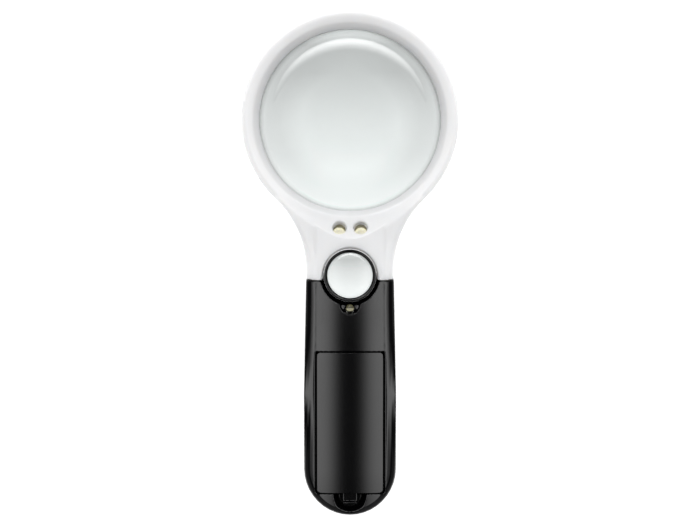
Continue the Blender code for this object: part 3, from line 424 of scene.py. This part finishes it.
def rear_height(x, y):
    """The crowned rear surface that the neck, the handle and the door share."""
    crest = NECK_TOP + (HANDLE_TOP - NECK_TOP) * eased(RISE_START_Y, RISE_END_Y, y)
    crest = crest - END_DROP * (np.clip(END_CENTRE_Y - y, 0, None) / HANDLE_HALF) ** 2
    most = NECK_CROWN + (CROWN_MOST - NECK_CROWN) * eased(CROWN_START_Y, CROWN_FULL_Y, y)
    return crest - most * np.tanh(x * x / (2 * CROWN_R * most))


def onto_crown(points, reach=0.0004):
    """Moves points that lie almost on the crowned surface onto it, less and less the further they are off."""
    target = rear_height(points[:, 0], points[:, 1]) - CROWN_SAG
    off = np.abs(points[:, 2] - target)
    side = np.clip((HANDLE_HALF - EDGE_ROUND - np.abs(points[:, 0])) / EDGE_BLEND, 0, 1)
    pull = side * np.clip((reach - off) / (reach * 0.4), 0, 1)
    points[:, 2] += pull * (target - points[:, 2])


def round_out(points, centre, facets, mask):
    """Turns a faceted round wall into a true round one: each flat is pushed out to its circle."""
    x, y = points[:, 0] - centre.x, points[:, 1] - centre.y
    step = 2 * math.pi / facets
    local = np.mod(np.arctan2(y, x), step) - step / 2
    scale = np.where(mask(points, np.hypot(x, y)), np.cos(local) / math.cos(step / 2), 1.0)
    points[:, 0] = centre.x + x * scale
    points[:, 1] = centre.y + y * scale


def on_ring(points, radius):
    """True for points of the round ring, and of the dish that runs out into the neck."""
    dish = DISH_Z + (radius - DISH_R) * math.tan(DISH_ANGLE)
    return (radius < RING_R + 0.0001) | (np.abs(points[:, 2] - dish) < 0.0002)


def moulded(node, slot, body, voxel, passes, rounds=(), crowned=False):
    """A moulded part's fine surface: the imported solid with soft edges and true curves, inside its own box."""
    piece = object_from(f"{node}_moulding", NODES[node].data.copy())
    remesh = piece.modifiers.new("fine", "REMESH")
    remesh.mode = "VOXEL"
    remesh.voxel_size = voxel
    smooth = piece.modifiers.new("soft", "SMOOTH")
    smooth.factor = 0.5
    smooth.iterations = passes
    mesh = bake_modifiers(piece)
    points = np.zeros(len(mesh.vertices) * 3)
    mesh.vertices.foreach_get("co", points)
    points = points.reshape(-1, 3)
    for centre, facets, mask in rounds:
        round_out(points, centre, facets, mask)
    if crowned:
        onto_crown(points)
    low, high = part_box(node)
    points = np.clip(points, np.array(low), np.array(high))
    mesh.vertices.foreach_set("co", points.ravel())
    mesh.update()
    mesh.shade_smooth()
    return dress(piece, slot, body, node)


def turned(name, profile, centre, steps, slot, body, *nodes, way=(0, 0, 1)):
    """A fine turned piece from an open or closed (radius, height) profile."""
    bm = bmesh.new()
    ring = [bm.verts.new((radius, 0, height)) for radius, height in profile]
    edges = [bm.edges.new(pair) for pair in zip(ring, ring[1:])]
    if profile[0][0] > 1e-6 or profile[-1][0] > 1e-6:
        edges.append(bm.edges.new((ring[-1], ring[0])))
    bmesh.ops.spin(bm, geom=ring + edges, cent=(0, 0, 0), axis=(0, 0, 1), angle=2 * math.pi, steps=steps)
    bmesh.ops.remove_doubles(bm, verts=bm.verts[:], dist=0.000002)
    bmesh.ops.recalc_face_normals(bm, faces=bm.faces[:])
    turn = Vector((0, 0, 1)).rotation_difference(Vector(way)).to_matrix().to_4x4()
    bm.transform(Matrix.Translation(centre) @ turn)
    mesh = bpy.data.meshes.new(name)
    bm.to_mesh(mesh)
    bm.free()
    mesh.shade_smooth()
    mesh.set_sharp_from_angle(angle=math.radians(40))
    return dress(object_from(name, mesh), slot, body, *nodes)


def arc(centre, radius, start, end, steps):
    angles = [math.radians(start + (end - start) * i / steps) for i in range(steps + 1)]
    return [(centre[0] + radius * math.cos(a), centre[1] + radius * math.sin(a)) for a in angles]


def lens_section(radius, height, curve_r, chamfer=0.0002, steps=36):
    """A biconvex section from pole to pole, with a thin bevel at its rim."""
    sag = curve_r - math.sqrt(curve_r**2 - radius**2)
    edge = height / 2 - sag
    upper = []
    for i in range(steps + 1):
        r = (radius - chamfer) * i / steps
        upper.append((r, edge + math.sqrt(curve_r**2 - r**2) - math.sqrt(curve_r**2 - radius**2)))
    upper.append((radius, edge - chamfer))
    return upper + [(r, -z) for r, z in reversed(upper)]


# ---- The object --------------------------------------------------------------------------------
MAIN_CURVE_R = 0.150
SMALL_CURVE_R = 0.027
MAIN_STEPS = 192
SMALL_STEPS = 128

# The small lens's barrel: its wall, its rounded rim, its small edges, and the ledge under the glass.
BARREL_WALL = 0.0009
BARREL_RIM_R = 0.0004
BARREL_EDGE = 0.0003
BARREL_LEDGE = 0.0010


def make_lenses():
    radius = (LENS_HIGH.x - LENS_LOW.x) / 2
    section = lens_section(radius, LENS_HIGH.z - LENS_LOW.z, MAIN_CURVE_R)
    turned("main_lens_glass", section, LENS_MID, MAIN_STEPS, "lens_glass", "root", "main_lens")
    radius = (SMALL_HIGH.x - SMALL_LOW.x) / 2
    section = lens_section(radius, SMALL_HIGH.z - SMALL_LOW.z, SMALL_CURVE_R)
    small = turned("small_lens_glass", section, SMALL_MID, SMALL_STEPS, "lens_glass", "root", "small_lens")
    small.data.materials[0] = lens_glass("small_lens_glass", SMALL_LOW, SMALL_HIGH, SMALL_TINT_AND_PAINTED_SHADE, SMALL_PAINTED_RIM_SHADE)


def make_barrel():
    """The small lens's black barrel, its rim rounded and its mouth stepped down to the glass."""
    outer = (BARREL_HIGH.x - BARREL_LOW.x) / 2
    top, bottom = BARREL_HIGH.z, BARREL_LOW.z
    ledge = SMALL_LOW.z + 0.0010
    inner = outer - BARREL_WALL
    rim = (outer - BARREL_RIM_R, top - BARREL_RIM_R)
    profile = [
        *reversed(arc(rim, BARREL_RIM_R, 0, 90, 6)),
        (outer, bottom + BARREL_EDGE),
        (outer - BARREL_EDGE, bottom),
        (inner, bottom),
        (inner - BARREL_EDGE, bottom + BARREL_EDGE),
        (inner - BARREL_EDGE, ledge - 0.0018),
        (inner - BARREL_LEDGE, ledge - 0.0011),
        (inner - BARREL_LEDGE, ledge - BARREL_EDGE),
        (inner, ledge - BARREL_EDGE),
        (inner, top - BARREL_RIM_R),
        (inner + BARREL_EDGE, top - 0.0001),
    ]
    centre = Vector((SMALL_MID.x, SMALL_MID.y, 0))
    turned("small_lens_barrel_rim", profile, centre, SMALL_STEPS, "black_gloss", "root", "small_lens_barrel")


def lamp_way(node, points):
    """The way that a lamp points: the small one at a set slant, the others square to the dish."""
    if node == "led_small":
        return Vector((0, math.sin(SMALL_LAMP_ANGLE), math.cos(SMALL_LAMP_ANGLE)))
    tip = Vector(points[points[:, 2].argmax()])
    radial = Vector((tip.x, tip.y - LENS_MID.y, 0)).normalized()
    return -radial * math.sin(DISH_ANGLE) + Vector((0, 0, math.cos(DISH_ANGLE)))


SMALL_LAMP_R = 0.0015
LEG_R = 0.00025
# Each lamp's radius, length, flange radius and leg length.
LAMPS = {
    "led_left": (0.0025, 0.0086, 0.0029, 0.0022),
    "led_right": (0.0025, 0.0086, 0.0029, 0.0022),
    "led_small": (SMALL_LAMP_R, 0.0053, 0.0019, 0.0046),
}


def make_lamp(node, radius, length, flange_r, leg_length):
    """A clear domed lamp with its reflector cup and two legs, and a phosphor dot in the larger ones."""
    points = np.array([v.co for v in NODES[node].data.vertices])
    way = lamp_way(node, points)
    reach = points @ np.array(way)
    tip = Vector(points[reach.argmax()])
    base = tip - way * length
    dome = arc((0, length - radius), radius, 90, 0, 12)
    body = [*dome, (radius, 0.0010), (flange_r, 0.0009), (flange_r, 0.0001), (flange_r - 0.0001, 0), (0, 0)]
    turned(f"{node}_dome", body, base, 48, "lamp_resin", "root", node, way=way)
    cup_z = length - radius * 1.25
    wide, narrow, deep = radius * 0.72, radius * 0.34, radius * 0.42
    cup = [
        (narrow, cup_z - deep),
        (wide, cup_z),
        (wide + 0.0001, cup_z),
        (wide * 0.9, cup_z - deep - 0.0003),
        (0, cup_z - deep - 0.0003),
        (0, cup_z - deep),
    ]
    turned(f"{node}_cup", cup, base, 40, "nickel", "root", way=way).data.materials[0] = CUP_METAL
    if radius > SMALL_LAMP_R:
        bead = lens_section(narrow * 1.35, narrow * 0.9, narrow * 1.9)
        place = base + way * (cup_z - deep + narrow * 0.5)
        dot = turned(f"{node}_phosphor", bead, place, 32, "lamp_resin", "root", way=way)
        dot.data.materials[0] = PAINTED_GLOW_PHOSPHOR
    for side, letter in ((-1, "a"), (1, "b")):
        foot = base + Vector((side * radius * 0.5, 0, 0))
        leg = tube(f"{node}_leg_{letter}", [foot + way * 0.0003, foot - way * leg_length], LEG_R)
        dress(leg, "nickel", "root")


def tube(name, route, radius, resolution=3):
    curve = bpy.data.curves.new(name, "CURVE")
    curve.dimensions = "3D"
    curve.bevel_depth = radius
    curve.bevel_resolution = resolution
    curve.use_fill_caps = True
    spline = curve.splines.new("POLY")
    spline.points.add(len(route) - 1)
    for point, spot in zip(spline.points, route):
        point.co = (*spot, 1)
    made = bpy.data.objects.new(name, curve)
    bpy.context.scene.collection.objects.link(made)
    mesh = bpy.data.meshes.new_from_object(made.evaluated_get(bpy.context.evaluated_depsgraph_get()))
    bpy.data.objects.remove(made)
    mesh.shade_smooth()
    return object_from(name, mesh)


PAINTED_GLOW_PHOSPHOR = phosphor()
CUP_METAL = metal("lamp_cup", (0.26, 0.25, 0.17), (0.36, 0.34, 0.24), 0.25, 0.4)


def make_mouldings():
    ring = Vector((0, LENS_MID.y, 0))
    rounds = [(ring, RING_FACETS, on_ring)]
    moulded("head_rear_cover", "white_plastic", "root", voxel=0.0004, passes=8, rounds=rounds, crowned=True)
    moulded("head_front_cover", "white_plastic", "root", voxel=0.0004, passes=8, rounds=rounds)
    moulded("handle_rear_shell", "black_plastic", "root", voxel=0.0004, passes=6, crowned=True)
    moulded("handle_front_shell", "black_plastic", "root", voxel=0.00045, passes=6)
    moulded("battery_door", "black_plastic", "door", voxel=0.00025, passes=5, crowned=True)
    moulded("door_latch", "black_plastic", "latch", voxel=0.00015, passes=5)
    moulded("switch_knob", "black_gloss", "switch", voxel=0.00015, passes=4)


def dress_inner_nodes():
    """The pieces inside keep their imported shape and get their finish."""
    slots = {entry["node"]: entry["material_slot"] for entry in frame["record"]["subparts"]}
    for name, node in NODES.items():
        node.data.materials.clear()
        node.data.materials.append(SKINS[slots[name]])


# ---- Studio ------------------------------------------------------------------------------------
def area_light(name, place, target, size_x, size_y, radiance):
    light = bpy.data.lights.new(name, "AREA")
    light.shape = "RECTANGLE"
    light.size = size_x
    light.size_y = size_y
    light.energy = radiance * math.pi * size_x * size_y
    made = bpy.data.objects.new(name, light)
    made.location = place
    made.rotation_euler = (Vector(target) - Vector(place)).to_track_quat("-Z", "Y").to_euler()
    made.visible_camera = False
    bpy.context.scene.collection.objects.link(made)


ARC_CENTRE_Y = 0.113
ARC_STEPS = 64
# The strip's brightness across its width, from its inner edge at -1 to its outer edge at 1.
ARC_FALLOFF = [(-1.0, 0.0), (-0.4, 0.35), (0.1, 0.85), (0.45, 1.0), (0.75, 0.75), (1.0, 0.0)]


def arc_light(name, height, off_axis, width, sweep, radiance):
    """A curved strip light around the +Y side, seen as a crescent in the lenses."""
    inner = height * math.tan(math.radians(off_axis - width / 2))
    outer = height * math.tan(math.radians(off_axis + width / 2))
    bm = bmesh.new()
    level = bm.verts.layers.float.new("level")
    rows = []
    for i in range(ARC_STEPS + 1):
        along = math.sin(math.pi * i / ARC_STEPS)
        angle = math.radians(90 - sweep + 2 * sweep * i / ARC_STEPS)
        ray = Vector((math.cos(angle), math.sin(angle), 0))
        middle, half = (inner + outer) / 2, (outer - inner) / 2 * (0.15 + 0.85 * along**0.7)
        row = []
        for across, share in ARC_FALLOFF:
            vert = bm.verts.new(ray * (middle + half * across) + Vector((0, ARC_CENTRE_Y, height)))
            vert[level] = share * along
            row.append(vert)
        rows.append(row)
    for near, far in zip(rows, rows[1:]):
        for a, b, c, d in zip(near, near[1:], far, far[1:]):
            bm.faces.new((a, b, d, c))
    mesh = bpy.data.meshes.new(name)
    bm.to_mesh(mesh)
    bm.free()
    glow = bpy.data.materials.new(name)
    glow.use_nodes = True
    glow.node_tree.nodes.clear()
    emission = glow.node_tree.nodes.new("ShaderNodeEmission")
    share = glow.node_tree.nodes.new("ShaderNodeAttribute")
    share.attribute_name = "level"
    strength = glow.node_tree.nodes.new("ShaderNodeMath")
    strength.operation = "MULTIPLY"
    strength.inputs[1].default_value = radiance
    glow.node_tree.links.new(share.outputs["Fac"], strength.inputs[0])
    glow.node_tree.links.new(strength.outputs["Value"], emission.inputs["Strength"])
    output = glow.node_tree.nodes.new("ShaderNodeOutputMaterial")
    glow.node_tree.links.new(emission.outputs["Emission"], output.inputs["Surface"])
    mesh.materials.append(glow)
    made = object_from(name, mesh)
    made.visible_camera = False
    made.visible_shadow = False


FLOOR_HALF = 3
FLOOR_GAP = 0.0003


def make_floor():
    mesh = bpy.data.meshes.new("floor")
    bm = bmesh.new()
    bmesh.ops.create_grid(bm, x_segments=8, y_segments=8, size=FLOOR_HALF)
    bm.to_mesh(mesh)
    bm.free()
    mesh.materials.append(paper_floor())
    floor = object_from("floor", mesh)
    floor.location.z = -FLOOR_GAP


# The surround's light by how far a direction leans to either side, and its level at the handle's end.
SKY = [
    (0.11, 0.0), (0.19, 0.07), (0.27, 0.33), (0.34, 0.64), (0.42, 0.88),
    (0.52, 1.0), (0.64, 0.85), (0.80, 0.35), (1.0, 0.10),
]
SKY_STRENGTH = 1.9
NEAR_END_LEVEL = 0.55
NEAR_TO_FAR = (-0.75, 0.15)


def make_world():
    """A soft surround: dark in a band above the middle of the handle's width, brighter to both sides."""
    world = bpy.data.worlds.new("studio")
    bpy.context.scene.world = world
    world.use_nodes = True
    tree = world.node_tree
    tree.nodes.clear()
    coords = tree.nodes.new("ShaderNodeTexCoord")
    split = tree.nodes.new("ShaderNodeSeparateXYZ")
    across = tree.nodes.new("ShaderNodeMath")
    across.operation = "ABSOLUTE"
    side = tree.nodes.new("ShaderNodeValToRGB")
    fill_ramp(side, [(place, grey(level)) for place, level in ((0.0, 0.0), *SKY)])
    shade = tree.nodes.new("ShaderNodeBackground")
    output = tree.nodes.new("ShaderNodeOutputWorld")
    tree.links.new(coords.outputs["Generated"], split.inputs["Vector"])
    tree.links.new(split.outputs["X"], across.inputs[0])
    tree.links.new(across.outputs["Value"], side.inputs["Fac"])
    along = tree.nodes.new("ShaderNodeMapRange")
    along.interpolation_type = "SMOOTHSTEP"
    along.inputs["From Min"].default_value = NEAR_TO_FAR[0]
    along.inputs["From Max"].default_value = NEAR_TO_FAR[1]
    along.inputs["To Min"].default_value = NEAR_END_LEVEL * SKY_STRENGTH
    along.inputs["To Max"].default_value = SKY_STRENGTH
    tree.links.new(split.outputs["Y"], along.inputs["Value"])
    tree.links.new(along.outputs["Result"], shade.inputs["Strength"])
    tree.links.new(side.outputs["Color"], shade.inputs["Color"])
    tree.links.new(shade.outputs["Background"], output.inputs["Surface"])


VIEW_DISTANCE = 0.700
VIEW_PLANE_Z = 0.012
VIEW_WIDTH = 0.27335
SENSOR = 36.0


def make_camera():
    lens = bpy.data.cameras.new("camera")
    lens.sensor_width = SENSOR
    lens.lens = SENSOR * VIEW_DISTANCE / VIEW_WIDTH
    lens.clip_start = 0.01
    camera = bpy.data.objects.new("camera", lens)
    camera.location = (0, 0, VIEW_DISTANCE + VIEW_PLANE_Z)
    bpy.context.scene.collection.objects.link(camera)
    bpy.context.scene.camera = camera


def make_studio():
    make_floor()
    make_world()
    make_camera()
    area_light("head_softbox", (0, 1.0, 0.40), target=(0, 0.02, 0), size_x=1.4, size_y=0.45, radiance=1.1)
    arc_light("arc_strip", height=0.72, off_axis=27.9, width=4.6, sweep=76, radiance=12.0)
    scene = bpy.context.scene
    scene.view_settings.view_transform = "Standard"
    scene.view_settings.look = "None"
    scene.view_settings.exposure = 0.0


dress_inner_nodes()
make_mouldings()
make_lenses()
make_barrel()
for lamp, sizes in LAMPS.items():
    make_lamp(lamp, *sizes)
make_studio()
